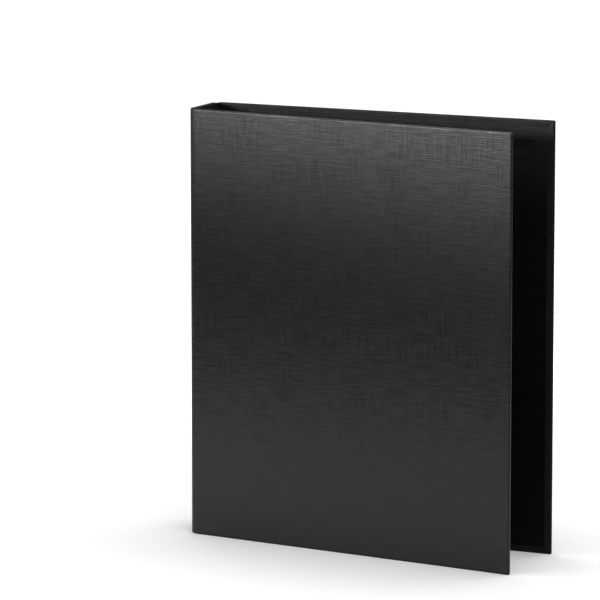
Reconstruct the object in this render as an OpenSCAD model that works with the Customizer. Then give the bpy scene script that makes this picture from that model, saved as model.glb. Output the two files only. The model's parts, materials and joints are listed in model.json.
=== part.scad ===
// A4 ring binder standing on its bottom edges, front cover a little open.
// Three boards, each covered and lined, joined by two paper hinges, with a
// four-ring D mechanism riveted to the inside of the back cover.
// +Z is up, the spine is at -X, the back cover lies along +Y.
// The origin is the centre of the bounding box, at the bottom.

/* [Covers] */
// Height of the covers
cover_h = 315; // [300:1:330]
// Width of each cover, from the outside of the spine to its fore edge
cover_w = 269; // [240:1:290]
// Width of the closed binder over the outside of both covers
spine_w = 46; // [44:0.5:60]
// Angle by which the front cover stands open at rest
front_opening = 7; // [0:0.5:20]
// Thickness of the boards
board_t = 2.2; // [1.8:0.1:2.4]
// Thickness of the covering paper
cover_t = 0.4; // [0.3:0.05:0.4]
// Thickness of the lining paper
lining_t = 0.3; // [0.2:0.05:0.3]
// Width of the covering that is turned in over the edge of each board
turn_in = 15; // [12:1:16]
// Width of covering left showing around the lining
lining_inset = 5; // [3:0.5:8]
// Outer radius of each paper hinge when the binder is closed
hinge_r = 6.5; // [5:0.5:7]

/* [Ring mechanism] */
// Distance from the outside of the spine to the middle of the housing
mech_x = 40; // [39:1:60]
// Length of the housing
housing_l = 280; // [278:1:282]
// Width of the housing
housing_w = 20; // [20:0.5:22]
// Height of the housing above the lining
housing_h = 6.8; // [6.8:0.1:7]
// Thickness of the housing's sheet steel
housing_t = 0.8; // [0.6:0.1:0.8]
// Distance between rings, to the four-hole filing pattern
ring_pitch = 80; // [78:1:82]
// Thickness of the ring wire
wire_d = 3.2; // [2.8:0.1:3.4]
// Height of the middle of the wire at the top of a ring
ring_h = 34; // [32:0.5:34]
// Distance between the two rivets
rivet_pitch = 160; // [150:1:170]

/* [Hidden] */
$fn = 48;

// Layers of a cover, measured inwards from its outer face
edge_t = board_t + 2 * cover_t;
lining_level = cover_t + board_t;
lined_t = lining_level + lining_t;
hinge_edge = hinge_r;
fore_edge = cover_w;
step = lining_t;
// Cuts run this far past the surfaces that they leave
past = 1;

// A cover turns about a line this far inside both outer faces, which keeps the
// paper of the hinge the same length when the binder is closed and when it is flat.
pivot_inset = hinge_r * (1 - PI / 4);
front_pivot = [pivot_inset, -spine_w / 2 + pivot_inset];
front_turn = 90 - front_opening;
front_hinge_tangent = hinge_r - pivot_inset + pivot_inset * tan(front_turn / 2);
front_hinge_r = front_hinge_tangent / tan(front_turn / 2);

// Ring mechanism, measured from the middle of the housing (u, towards the fore
// edge) and from the lining of the back cover (v, towards the front cover)
mid_h = cover_h / 2;
back_inner_y = spine_w / 2 - lined_t;
housing_side_h = 1.6;
housing_shoulder_r = 4.4;
lip_w = 2;
lip_t = 0.8;
dimple_r = 4.4;
dimple_floor = 6.2;
wire_r = wire_d / 2;
wire_u = 4.5;
ring_seam_v = ring_h - 4;
seam_gap = 0.1;
ring_zs = [for (i = [0:3]) mid_h + (i - 1.5) * ring_pitch];

// Blades: each turns about its outer edge, and starts with its inner edge low
blade_pivot_u = housing_w / 2 - housing_t - 0.8;
blade_pivot_v = 2.2;
blade_tilt = 6;
blade_t = 0.9;
blade_middle_gap = 0.3;
blade_w = blade_pivot_u - blade_middle_gap / 2;
blade_open = 18;

// Each wire has a thinner neck through its blade, with a head below the blade
neck_r = 1.1;
neck_fit = 0.01;
foot_head_r = neck_r + 0.7;
foot_head_t = 0.6;

// Levers
pin_r = 1;
pin_v = 3.2;
pin_inset = 4;
pin_l = housing_w - 0.8;
pin_fit = 0.01;
lever_fit = 0.05;
pin_top_z = mid_h + housing_l / 2 - pin_inset;
pin_bottom_z = mid_h - housing_l / 2 + pin_inset;
blade_end_gap = 3.2;
lever_w = 12;
notch_w = lever_w + 1.2;
notch_depth = 6.3;
notch_floor = 5;

// Rivets
rivet_r = 2.6;
rivet_head_r = 6.5;
rivet_head_t = 1.2;
rivet_fit = 0.05;
blade_clearance = 0.8;
rivet_zs = [mid_h - rivet_pitch / 2, mid_h + rivet_pitch / 2];

// Bounding box at rest, for the origin
front_reach = cover_w - pivot_inset;
y_low = front_pivot[1] - front_reach * sin(front_opening) - pivot_inset * cos(front_opening);
y_high = spine_w / 2 + rivet_head_t;
origin = [cover_w / 2, (y_low + y_high) / 2];

covering_colour = [0.11, 0.11, 0.11];
lining_colour = [0.05, 0.05, 0.05];
board_colour = [0.55, 0.52, 0.47];
steel_colour = [0.75, 0.75, 0.76];

// ---- Placing ----

module to_origin() {
    translate([-origin[0], -origin[1], 0]) children();
}

// Turns what is drawn as part of a closed front cover to where it stands at rest
module at_front() {
    to_origin()
        translate([front_pivot[0], front_pivot[1], 0])
            rotate([0, 0, -front_opening])
                translate([-front_pivot[0], -front_pivot[1], 0])
                    translate([0, -spine_w / 2, 0]) children();
}

// The back cover is the front cover's mirror image
module at_back() {
    to_origin() translate([0, spine_w / 2, 0]) mirror([0, 1, 0]) children();
}

// Local X is u, local Y is v and local Z is the height up the binder
module on_back(z = 0) {
    to_origin() translate([mech_x, back_inner_y, z]) mirror([0, 1, 0]) children();
}

// ---- Covers: outer face on Y = 0, thickness towards +Y, hinge edge at X = hinge_edge ----

module cover_board() {
    translate([hinge_edge, cover_t, cover_t])
        cube([fore_edge - cover_t - hinge_edge, board_t, cover_h - 2 * cover_t]);
}

module cover_covering() {
    difference() {
        translate([hinge_edge, 0, 0]) cube([fore_edge - hinge_edge, edge_t, cover_h]);
        translate([hinge_edge - past, cover_t, cover_t])
            cube([fore_edge - cover_t - hinge_edge + past, board_t, cover_h - 2 * cover_t]);
        translate([hinge_edge - past, cover_t, turn_in])
            cube([fore_edge - turn_in - hinge_edge + past, edge_t, cover_h - 2 * turn_in]);
    }
}

// The lining lies on the board, and steps up over the turned-in covering
module cover_lining() {
    difference() {
        translate([hinge_edge, lining_level, lining_inset])
            cube([fore_edge - lining_inset - hinge_edge, cover_t + lining_t, cover_h - 2 * lining_inset]);
        // Room for the turned-in covering along the foot, the head and the fore edge
        for (z = [0, cover_h - turn_in])
            translate([hinge_edge - past, lining_level - past, z]) cube([cover_w, past + cover_t, turn_in]);
        translate([fore_edge - turn_in, lining_level - past, 0]) cube([turn_in, past + cover_t, cover_h]);
        // The sunk middle
        translate([hinge_edge - past, lined_t, turn_in + step])
            cube([fore_edge - turn_in - step - hinge_edge + past, past, cover_h - 2 * (turn_in + step)]);
    }
}

module rivet_holes() {
    for (z = rivet_zs) on_back(z) rotate([90, 0, 0])
        cylinder(r = rivet_r + rivet_fit, h = 4 * edge_t, center = true);
}

module front_board() { color(board_colour) at_front() cover_board(); }
module front_covering() { color(covering_colour) at_front() cover_covering(); }
module front_lining() { color(lining_colour) at_front() cover_lining(); }

module back_board() {
    color(board_colour) difference() { at_back() cover_board(); rivet_holes(); }
}
module back_covering() {
    color(covering_colour) difference() { at_back() cover_covering(); rivet_holes(); }
}
module back_lining() {
    color(lining_colour) difference() { at_back() cover_lining(); rivet_holes(); }
}

// ---- Spine: outer face on X = 0, thickness towards +X ----

spine_flat = spine_w - 2 * hinge_r;

module at_spine() {
    to_origin() translate([0, -spine_flat / 2, 0]) children();
}

module spine_board() {
    color(board_colour) at_spine()
        translate([cover_t, 0, cover_t]) cube([board_t, spine_flat, cover_h - 2 * cover_t]);
}

module spine_covering() {
    color(covering_colour) at_spine() difference() {
        cube([edge_t, spine_flat, cover_h]);
        translate([cover_t, -past, cover_t]) cube([board_t, spine_flat + 2 * past, cover_h - 2 * cover_t]);
        translate([cover_t, -past, turn_in]) cube([edge_t, spine_flat + 2 * past, cover_h - 2 * turn_in]);
    }
}

module spine_lining() {
    color(lining_colour) at_spine() rotate([90, 0, 0]) mirror([0, 0, 1])
        linear_extrude(spine_flat) translate([lining_level, 0]) lining_section(1);
}

// ---- Paper hinges: a quarter tube, nearly ----

// The lining in section up the binder: it steps away from the outside over the
// turned-in covering. side is 1 where inwards is +X, and -1 where it is -X.
module lining_section(side) {
    high = cover_t + lining_t;
    points = [
        [cover_t, lining_inset], [high, lining_inset], [high, turn_in + step], [lining_t, turn_in + step],
        [lining_t, cover_h - turn_in - step], [high, cover_h - turn_in - step],
        [high, cover_h - lining_inset], [cover_t, cover_h - lining_inset],
        [cover_t, cover_h - turn_in], [0, cover_h - turn_in], [0, turn_in], [cover_t, turn_in]
    ];
    polygon([for (p = points) [side * p[0], p[1]]]);
}

module covering_section() {
    polygon([
        [0, 0], [-2 * cover_t, 0], [-2 * cover_t, turn_in], [-cover_t, turn_in],
        [-cover_t, cover_h - turn_in], [-2 * cover_t, cover_h - turn_in], [-2 * cover_t, cover_h], [0, cover_h]
    ]);
}

// Sweeps a section, drawn from the outer surface inwards, round from the spine's
// edge to the front cover's edge
module hinge_sweep(radius, turn) {
    to_origin() translate([radius, -spine_w / 2 + hinge_r, 0]) rotate([0, 0, 180])
        rotate_extrude(angle = turn) translate([radius, 0]) children();
}

module back_hinge_sweep() {
    translate([0, -2 * origin[1], 0]) mirror([0, 1, 0]) hinge_sweep(hinge_r, 90) children();
}

module front_hinge_covering() {
    color(covering_colour) hinge_sweep(front_hinge_r, front_turn) covering_section();
}
module front_hinge_lining() {
    color(lining_colour) hinge_sweep(front_hinge_r, front_turn)
        translate([-cover_t, 0]) lining_section(-1);
}
module back_hinge_covering() { color(covering_colour) back_hinge_sweep() covering_section(); }
module back_hinge_lining() {
    color(lining_colour) back_hinge_sweep() translate([-cover_t, 0]) lining_section(-1);
}

// ---- Housing: a long steel cap with lips that hold the blades ----

// The housing's end view, shrunk by an inset: straight sides, and an arch of three
// arcs in which the crown meets each shoulder without a crease
module housing_outline(inset) {
    shoulder_u = housing_w / 2 - housing_shoulder_r;
    rise = housing_h - housing_side_h;
    crown_r = (pow(shoulder_u, 2) + pow(rise, 2) - pow(housing_shoulder_r, 2))
        / (2 * (rise - housing_shoulder_r));
    crown_v = housing_h - crown_r;
    meeting_u = shoulder_u * crown_r / (crown_r - housing_shoulder_r);
    translate([-housing_w / 2 + inset, 0]) square([housing_w - 2 * inset, housing_side_h]);
    intersection() {
        union() {
            for (side = [-1, 1])
                translate([side * shoulder_u, housing_side_h]) circle(housing_shoulder_r - inset);
            intersection() {
                translate([0, crown_v]) circle(crown_r - inset, $fn = 180);
                translate([-meeting_u, 0]) square([2 * meeting_u, housing_h]);
            }
        }
        translate([-housing_w / 2, 0]) square([housing_w, housing_h]);
    }
}

module ring_housing() {
    slot_gap = 0.4;
    slot_from = wire_u - wire_r - slot_gap;
    wire_swing = (housing_h - blade_pivot_v) * tan(blade_open);
    slot_to = wire_u + wire_r + wire_swing + slot_gap + 0.1;
    slot_floor = 3;
    color(steel_colour) difference() {
        on_back(mid_h) union() {
            translate([0, 0, -housing_l / 2]) linear_extrude(housing_l) difference() {
                housing_outline(0);
                housing_outline(housing_t);
                translate([housing_t - housing_w / 2, -past]) square([housing_w - 2 * housing_t, 2 * past]);
            }
            for (side = [-1, 1]) translate([0, dimple_floor - housing_t, side * rivet_pitch / 2])
                rotate([-90, 0, 0]) cylinder(r = dimple_r + housing_t, h = housing_t);
            for (side = [-1, 1])
                translate([side * (housing_w / 2 - lip_w / 2) - lip_w / 2, 0, -housing_l / 2])
                    cube([lip_w, lip_t, housing_l]);
        }
        // Slots in which the ring wires swing
        for (z = ring_zs, side = [-1, 1]) on_back(z)
            translate([side * (slot_from + slot_to) / 2, slot_floor + housing_h / 2, 0])
                cube([slot_to - slot_from, housing_h, wire_d + 2 * slot_gap], center = true);
        // Notches in the roof at both ends, for the levers
        for (z = [pin_top_z, pin_bottom_z]) {
            outward = sign(z - mid_h);
            notch_middle = pin_inset + (past - notch_depth) / 2;
            on_back(z) translate([0, notch_floor + housing_h / 2, outward * notch_middle])
                cube([notch_w, housing_h, notch_depth + past], center = true);
            on_back(z) translate([0, pin_v, 0]) rotate([0, 90, 0])
                cylinder(r = pin_r + pin_fit, h = housing_w + 2 * past, center = true);
        }
        for (z = rivet_zs) on_back(z) rotate([-90, 0, 0]) {
            cylinder(r = rivet_r + rivet_fit, h = housing_h + past);
            translate([0, 0, dimple_floor]) cylinder(r = dimple_r, h = housing_h);
        }
    }
}

module housing_rivets() {
    overlap = 0.1;
    lip_overlap = 0.5;
    turned_lip_t = 0.6;
    wall_t = 0.8;
    hollow_floor = 1;
    color(steel_colour) for (z = rivet_zs) on_back(z) rotate([-90, 0, 0]) {
        difference() {
            union() {
                translate([0, 0, -lined_t - overlap])
                    cylinder(r = rivet_r, h = lined_t + dimple_floor + lip_overlap);
                translate([0, 0, dimple_floor]) cylinder(r = rivet_r + 1, h = turned_lip_t);
            }
            translate([0, 0, hollow_floor]) cylinder(r = rivet_r - wall_t, h = housing_h + past);
        }
        // Domed head on the outside of the back cover
        translate([0, 0, -lined_t]) mirror([0, 0, 1]) rivet_head();
    }
}

module rivet_head() {
    rim_t = 0.3;
    rise = rivet_head_t - rim_t;
    dome_r = (rivet_head_r * rivet_head_r + rise * rise) / (2 * rise);
    cylinder(r = rivet_head_r, h = rim_t);
    rotate_extrude() intersection() {
        translate([0, rivet_head_t - dome_r]) circle(dome_r, $fn = 96);
        translate([0, rim_t]) square([rivet_head_r, rise]);
    }
}

module lever_pins() {
    color(steel_colour) for (z = [pin_top_z, pin_bottom_z])
        on_back(z) translate([0, pin_v, 0]) rotate([0, 90, 0])
            cylinder(r = pin_r, h = pin_l, center = true);
}

// ---- Blades: side is -1 for the one nearer the spine and 1 for the other ----

module blade(side) {
    from = pin_bottom_z + blade_end_gap;
    length = pin_top_z - blade_end_gap - from;
    color(steel_colour) difference() {
        on_back(from) translate([side * blade_pivot_u, blade_pivot_v, 0]) rotate([0, 0, side * blade_tilt]) {
            cylinder(r = blade_t / 2, h = length);
            translate([side < 0 ? 0 : -blade_w, -blade_t / 2, 0]) cube([blade_w, blade_t, length]);
        }
        for (z = ring_zs) on_back(z) translate([side * wire_u, 0, 0]) rotate([-90, 0, 0])
            cylinder(r = neck_r + neck_fit, h = housing_h);
        for (z = rivet_zs) on_back(z) rotate([-90, 0, 0])
            cylinder(r = rivet_r + blade_clearance, h = housing_h);
    }
}

module spine_side_blade() { blade(-1); }
module fore_side_blade() { blade(1); }

// ---- Rings: the post stands straight, and the hook bends over to meet it ----

// Middle of the blade under a wire, then the wire's end just above it and the
// neck's end just below it, clear of the tilted plate
blade_at_wire_v = blade_pivot_v - (blade_pivot_u - wire_u) * sin(blade_tilt);
blade_top_v = blade_at_wire_v + blade_t * 0.75;
foot_v = blade_at_wire_v - blade_t * 0.8 - 0.65;
foot_l = 2.6;
wedge_overlap = 0.3;

module wire_bend(centre, radius, from, turn) {
    translate([centre[0], centre[1], 0]) rotate([0, 0, from])
        rotate_extrude(angle = turn) translate([radius, 0]) circle(wire_r);
}

module wire_run(start, along, length, r = wire_r) {
    translate([start[0], start[1], 0]) rotate([0, 0, along]) rotate([0, 90, 0]) cylinder(r = r, h = length);
}

// The foot of a half ring: its neck goes through the blade and is headed below it
module wire_foot(u) {
    wire_run([u, foot_v], 90, foot_l, neck_r);
    wire_run([u, foot_v], 90, foot_head_t, foot_head_r);
}

// The wedge across the end of a hook, which keeps the two ends in line
module seam_wedge(half_w, depth, length) {
    rotate([0, 90, 0]) linear_extrude(length, center = true)
        polygon([
            [-half_w, 0], [-half_w, wedge_overlap], [half_w, wedge_overlap], [half_w, 0], [0, -depth]
        ]);
}

module ring_hook(index) {
    wedge_half_w = 0.9;
    wedge_depth = 0.7;
    corner_r = 3;
    run_v = 9;
    back_r = (ring_h - run_v) / 2;
    back_u = -15;
    end_u = wire_u - corner_r;
    color(steel_colour) on_back(ring_zs[index]) {
        wire_foot(-wire_u);
        wire_run([-wire_u, blade_top_v], 90, run_v - corner_r - blade_top_v);
        wire_bend([-wire_u - corner_r, run_v - corner_r], corner_r, 0, 90);
        wire_run([-wire_u - corner_r, run_v], 180, -back_u - wire_u - corner_r);
        wire_bend([back_u, run_v + back_r], back_r, 90, 180);
        wire_run([back_u, ring_h], 0, end_u - back_u);
        wire_bend([end_u, ring_h - corner_r], corner_r, 0, 90);
        wire_run([wire_u, ring_seam_v + seam_gap / 2], 90, ring_h - corner_r - ring_seam_v - seam_gap / 2);
        intersection() {
            translate([wire_u, ring_seam_v + seam_gap / 2, 0])
                seam_wedge(wedge_half_w, wedge_depth, wire_d + past);
            wire_run([wire_u, ring_seam_v - wire_d], 90, 2 * wire_d);
        }
    }
}

module ring_post(index) {
    groove_half_w = 1.05;
    groove_depth = 0.95;
    color(steel_colour) on_back(ring_zs[index]) {
        wire_foot(wire_u);
        difference() {
            wire_run([wire_u, blade_top_v], 90, ring_seam_v - seam_gap / 2 - blade_top_v);
            translate([wire_u, ring_seam_v, 0]) seam_wedge(groove_half_w, groove_depth, wire_d + past);
        }
    }
}

// ---- Levers: pressed outwards, each lifts the blades with its tail ----

// A plate with its two far corners rounded, X through it, Y along it and Z across it
module handle_plate(length, width, thickness, corner_r) {
    translate([-thickness / 2, 0, 0]) rotate([90, 0, 90]) linear_extrude(thickness) {
        translate([0, -width / 2]) square([length - corner_r, width]);
        translate([0, -width / 2 + corner_r]) square([length, width - 2 * corner_r]);
        for (side = [-1, 1]) translate([length - corner_r, side * (width / 2 - corner_r)]) circle(corner_r);
    }
}

// Drawn with X outwards along the binder, Y as v and Z across the lever
module lever() {
    arm_angle = 35;
    arm_l = 7.5;
    arm_t = 1.8;
    handle_l = 14;
    handle_w = 14;
    handle_corner_r = 4;
    lean = 11;
    eye_r = 2;
    bead_r = arm_t * 0.7;
    bead_out = 0.3;
    bead_inset = 1;
    tail_l = 5.6;
    tail_w = 2.4;
    tail_from_v = 0.15;
    tail_t = 0.45;
    tail_root_l = 1.8;
    tail_root_h = 2.2;
    elbow = [arm_l * cos(arm_angle), pin_v + arm_l * sin(arm_angle)];
    difference() {
        union() {
            translate([0, pin_v, -lever_w / 2]) cylinder(r = eye_r, h = lever_w);
            translate([0, pin_v, 0]) rotate([0, 0, arm_angle])
                translate([0, -arm_t / 2, -lever_w / 2]) cube([arm_l, arm_t, lever_w]);
            translate([elbow[0], elbow[1], 0]) {
                translate([0, 0, -handle_w / 2]) cylinder(r = arm_t / 2, h = handle_w);
                rotate([0, 0, -lean]) {
                    handle_plate(handle_l, handle_w, arm_t, handle_corner_r);
                    translate([bead_out, handle_l - bead_inset, 0])
                        cylinder(r = bead_r, h = handle_w / 2, center = true);
                }
            }
            translate([-tail_l, tail_from_v, -tail_w / 2]) cube([tail_l, tail_t, tail_w]);
            translate([-tail_root_l, tail_from_v, -tail_w / 2]) cube([tail_root_l, tail_root_h, tail_w]);
        }
        translate([0, pin_v, 0]) cylinder(r = pin_r + lever_fit, h = 2 * lever_w, center = true);
    }
}

module top_lever() {
    color(steel_colour) on_back(pin_top_z) rotate([0, -90, 0]) lever();
}
module bottom_lever() {
    color(steel_colour) on_back(pin_bottom_z) mirror([0, 0, 1]) rotate([0, -90, 0]) lever();
}

spine_board();
spine_covering();
spine_lining();
front_hinge_covering();
front_hinge_lining();
back_hinge_covering();
back_hinge_lining();
front_board();
front_covering();
front_lining();
back_board();
back_covering();
back_lining();
ring_housing();
housing_rivets();
lever_pins();
spine_side_blade();
ring_hook(0);  // ring_hook_1
ring_hook(1);  // ring_hook_2
ring_hook(2);  // ring_hook_3
ring_hook(3);  // ring_hook_4
fore_side_blade();
ring_post(0);  // ring_post_1
ring_post(1);  // ring_post_2
ring_post(2);  // ring_post_3
ring_post(3);  // ring_post_4
top_lever();
bottom_lever();
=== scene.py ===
import json
import math

import bmesh
import bpy
import numpy as np
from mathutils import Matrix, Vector


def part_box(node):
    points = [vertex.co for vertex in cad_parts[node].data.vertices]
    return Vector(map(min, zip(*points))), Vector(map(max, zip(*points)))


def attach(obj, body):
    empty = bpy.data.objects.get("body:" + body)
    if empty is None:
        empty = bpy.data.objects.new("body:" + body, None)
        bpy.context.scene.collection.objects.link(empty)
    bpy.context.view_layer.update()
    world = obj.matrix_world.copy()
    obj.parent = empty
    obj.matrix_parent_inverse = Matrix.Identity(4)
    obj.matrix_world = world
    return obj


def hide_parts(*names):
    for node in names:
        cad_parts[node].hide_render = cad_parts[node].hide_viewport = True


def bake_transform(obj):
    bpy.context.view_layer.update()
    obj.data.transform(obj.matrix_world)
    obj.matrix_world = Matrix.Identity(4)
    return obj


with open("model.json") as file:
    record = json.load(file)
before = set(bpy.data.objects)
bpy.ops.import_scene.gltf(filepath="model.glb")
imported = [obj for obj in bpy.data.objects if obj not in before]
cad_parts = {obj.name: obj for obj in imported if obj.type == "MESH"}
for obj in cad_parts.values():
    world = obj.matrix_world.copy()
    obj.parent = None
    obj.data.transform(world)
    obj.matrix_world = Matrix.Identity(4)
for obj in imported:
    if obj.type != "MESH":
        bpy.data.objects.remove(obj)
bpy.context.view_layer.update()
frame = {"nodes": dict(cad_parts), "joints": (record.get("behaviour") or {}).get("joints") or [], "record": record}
mm = 0.001

# Where the frame puts things

joints = {joint["name"]: joint for joint in frame["joints"]}
spineLow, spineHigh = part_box("spine_covering")
backLow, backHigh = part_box("back_covering")
boardLow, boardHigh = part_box("back_board")
housingLow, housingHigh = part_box("ring_housing")

binder = {
    "height": spineHigh.z - spineLow.z,
    "spineX": spineLow.x,
    "spineFrontY": spineLow.y,
    "spineBackY": spineHigh.y,
    "hingeRadius": backLow.x - spineLow.x,
    "coverWidth": backHigh.x - spineLow.x,
    "edgeThickness": backHigh.y - backLow.y,
    "boardThickness": boardHigh.y - boardLow.y,
    "opening": math.radians(-joints["front_cover_hinge"]["range_deg"][0]),
}
binder["paper"] = (binder["edgeThickness"] - binder["boardThickness"]) / 2

covers = {
    "turnIn": 15 * mm,           # covering folded in over the board's edges
    "turnInSlope": 0.8 * mm,
    "liningInset": 5 * mm,       # covering left showing round the lining
    "liningThickness": 0.3 * mm,
    "liningRim": 0.25 * mm,
    "hingeThickness": 1.0 * mm,
    "hingeSlope": 2.2 * mm,
    "hingeFoot": 0.3 * mm,       # from the end of the hinge back to the foot of the board
    "hingeMargin": 1 * mm,       # fine grid lines past the hinge
    "hingeSag": 0.55 * mm,
    "sagFade": 9 * mm,
    "rimDepth": 1.5 * mm,
    "cornerRadius": 0.9 * mm,
    "mitreDepth": 0.2 * mm,
    "mitreWidth": 0.5 * mm,
    "mitreFade": 1 * mm,
    "creaseInset": 1.2 * mm,
    "creaseWidth": 0.7 * mm,
    "creaseDepth": 0.12 * mm,
    "hingeStep": 0.4 * mm,
    "borderStep": 0.6 * mm,
    "fineStep": 0.27 * mm,
    "openStep": 7 * mm,
    "farAway": (1, 2),           # a bend and a fore edge that the spine never meets
}


# Routes: straight and round stretches in a plane, drawn one after another

# A stretch is ("line", length) or ("arc", radius, turn), where a positive turn bends to the left
def route(start, heading, moves):
    place = np.array(start, float)
    along = 0
    stretches = []
    for kind, *size in moves:
        ahead = np.array([math.cos(heading), math.sin(heading)])
        left = np.array([-ahead[1], ahead[0]])
        if kind == "line":
            length = size[0]
            stretches.append({"start": place, "ahead": ahead, "left": left, "radius": 0})
            place = place + length * ahead
        else:
            radius, turn = size
            side = math.copysign(1, turn)
            length = radius * abs(turn)
            centre = place + side * radius * left
            first = heading - side * math.pi / 2
            stretches.append({"centre": centre, "first": first, "side": side, "radius": radius})
            heading = heading + turn
            last = first + turn
            place = centre + radius * np.array([math.cos(last), math.sin(last)])
        stretches[-1].update({"from": along, "to": along + length})
        along = along + length
    return stretches


# Points and left normals at lengths along a route. Line: start + length * ahead. Arc: centre + radius *
# (cos, sin) of the first angle plus or minus length / radius, whose left normal is that spoke or its
# opposite.
def routePoints(stretches, along):
    along = np.asarray(along, float)
    points = np.zeros(along.shape + (2,))
    left = np.zeros_like(points)
    for index, stretch in enumerate(stretches):
        inside = along >= stretch["from"] if index else along >= -1
        here = along[inside] - stretch["from"]
        if stretch["radius"] == 0:
            points[inside] = stretch["start"] + here[:, None] * stretch["ahead"]
            left[inside] = stretch["left"]
        else:
            angle = stretch["first"] + stretch["side"] * here / stretch["radius"]
            spoke = np.stack([np.cos(angle), np.sin(angle)], -1)
            points[inside] = stretch["centre"] + stretch["radius"] * spoke
            left[inside] = -stretch["side"] * spoke
    return points, left


# From the spine's edge round the hinge and straight on to the fore edge. The arc touches the spine's face
# at its edge and the cover's face at the board's edge, for whatever angle the cover stands at.
def coverRoute(back):
    radius = binder["hingeRadius"]
    inset = radius * (1 - math.pi / 4)
    turn = math.pi / 2 if back else math.pi / 2 - binder["opening"]
    arcRadius = (radius - inset + inset * math.tan(turn / 2)) / math.tan(turn / 2)
    straight = binder["coverWidth"] - radius
    if back:
        return route((binder["spineX"], binder["spineBackY"]), math.pi / 2,
                     [("arc", arcRadius, -turn), ("line", straight)])
    return route((binder["spineX"], binder["spineFrontY"]), -math.pi / 2,
                 [("arc", arcRadius, turn), ("line", straight)])


# Straight across the spine, from its front edge to its back edge
def spineRoute():
    flat = binder["spineBackY"] - binder["spineFrontY"]
    return route((binder["spineX"], binder["spineFrontY"]), math.pi / 2, [("line", flat)])


# Grid lines

# 0 below low, 1 above high, 3t^2 - 2t^3 between
def smoothStep(value, low, high):
    t = np.clip((value - low) / (high - low), 0, 1)
    return t * t * (3 - 2 * t)


# Evenly spaced lines from low to high
def lines(low, high, step):
    return np.linspace(low, high, max(2, int(math.ceil((high - low) / step - 1e-6)) + 1))


# A rim's lines: distances from the edge at even angles of a superellipse quarter
def rimLines(depth, power=3.0, segments=7):
    angle = np.linspace(0, math.pi / 2, segments + 1)
    return depth * (1 - np.cos(angle) ** (2 / power))


# Share of the thickness left at a distance from the edge, on the same superellipse
def rimShare(gap, depth, power=3.0):
    t = 1 - np.clip(gap / depth, 0, 1)
    return (1 - t ** power) ** (1 / power)


# Lines sorted, with those closer than a hair taken out
def sortedLines(stretches):
    merged = np.sort(np.concatenate(stretches))
    return merged[np.concatenate([[True], np.diff(merged) > 1e-7])]


def heightLines(inset, rim):
    step = covers["turnIn"] + covers["turnInSlope"]
    half = sortedLines([inset + rimLines(rim), lines(inset + rim, covers["turnIn"], covers["borderStep"]),
                        lines(covers["turnIn"], step, covers["fineStep"]),
                        lines(step, binder["height"] / 2, covers["openStep"])])
    return np.concatenate([half, (binder["height"] - half[:-1])[::-1]])


def alongLines(bend, foreEdge, inset, rim):
    border = foreEdge - covers["turnIn"]
    hingeEnd = bend + covers["hingeMargin"]
    return sortedLines([lines(0, hingeEnd, covers["hingeStep"]),
                        lines(hingeEnd, border - covers["turnInSlope"], covers["openStep"]),
                        lines(border - covers["turnInSlope"], border, covers["fineStep"]),
                        lines(border, foreEdge - inset - rim, covers["borderStep"]),
                        foreEdge - inset - rimLines(rim)])


# Layers of a cover

# Depth of the covering's inner face under the outer one: paper alone in the hinge, then the board with a
# paper on both faces under the folded-in border, and with one paper inside it. The folded corners meet
# in a 45 degree groove: depth * exp(-(distance across / width)^2).
def innerDepth(along, height, bend, foreEdge):
    slope = covers["hingeSlope"]
    foot = bend - covers["hingeFoot"]
    rise = np.maximum(smoothStep(along, foot - slope, foot), 1 - smoothStep(along, 0, slope))
    headGap = np.minimum(height, binder["height"] - height)
    foreGap = foreEdge - along
    edgeGap = np.minimum(headGap, foreGap)
    sunk = smoothStep(edgeGap, covers["turnIn"], covers["turnIn"] + covers["turnInSlope"])
    mitre = np.exp(-(((foreGap - headGap) / (math.sqrt(2) * covers["mitreWidth"])) ** 2))
    fade = covers["mitreFade"]
    inCorner = 1 - smoothStep(np.maximum(foreGap, headGap), covers["turnIn"] - fade, covers["turnIn"])
    inCorner = inCorner * smoothStep(edgeGap, fade, 2 * fade)
    board = binder["edgeThickness"] - binder["paper"] * sunk - covers["mitreDepth"] * mitre * inCorner
    return covers["hingeThickness"] + (board - covers["hingeThickness"]) * rise


# Depth of the outer face: two shallow creases where the boards end, depth * exp(-(distance / width)^2)
def outerDepth(along, bend):
    first = np.exp(-(((along - covers["creaseInset"]) / covers["creaseWidth"]) ** 2))
    second = np.exp(-(((along - bend + covers["creaseInset"]) / covers["creaseWidth"]) ** 2))
    return covers["creaseDepth"] * (first + second) * smoothStep(along, 0, covers["creaseInset"])


# The head and foot sag a little between the boards: sin^2 across the hinge, fading over a few millimetres
def sagged(along, height, bend):
    across = np.sin(math.pi * np.clip(along / bend, 0, 1)) ** 2
    low = 1 - smoothStep(height, 0, covers["sagFade"])
    high = 1 - smoothStep(binder["height"] - height, 0, covers["sagFade"])
    return height + covers["hingeSag"] * across * (low - high)


# A square corner turned into a quarter circle: x sqrt(1 - y^2 / 2), y sqrt(1 - x^2 / 2)
def roundedCorner(along, height, foreEdge, radius):
    x = np.clip((along - foreEdge + radius) / radius, 0, 1)
    low = np.clip((radius - height) / radius, 0, 1)
    high = np.clip((radius - binder["height"] + height) / radius, 0, 1)
    y = np.maximum(low, high)
    shift = radius * y * (1 - np.sqrt(1 - x * x / 2))
    along = along + radius * x * (np.sqrt(1 - y * y / 2) - 1)
    return along, height + np.where(low > 0, shift, -shift)


# Putting meshes together

# Quads of a grid of rows by columns, whose vertices start at offset
def gridFaces(rows, columns, offset=0):
    i, j = np.meshgrid(np.arange(rows - 1), np.arange(columns - 1), indexing="ij")
    corner = offset + i * columns + j
    return np.stack([corner, corner + columns, corner + columns + 1, corner + 1], -1).reshape(-1, 4)


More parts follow.
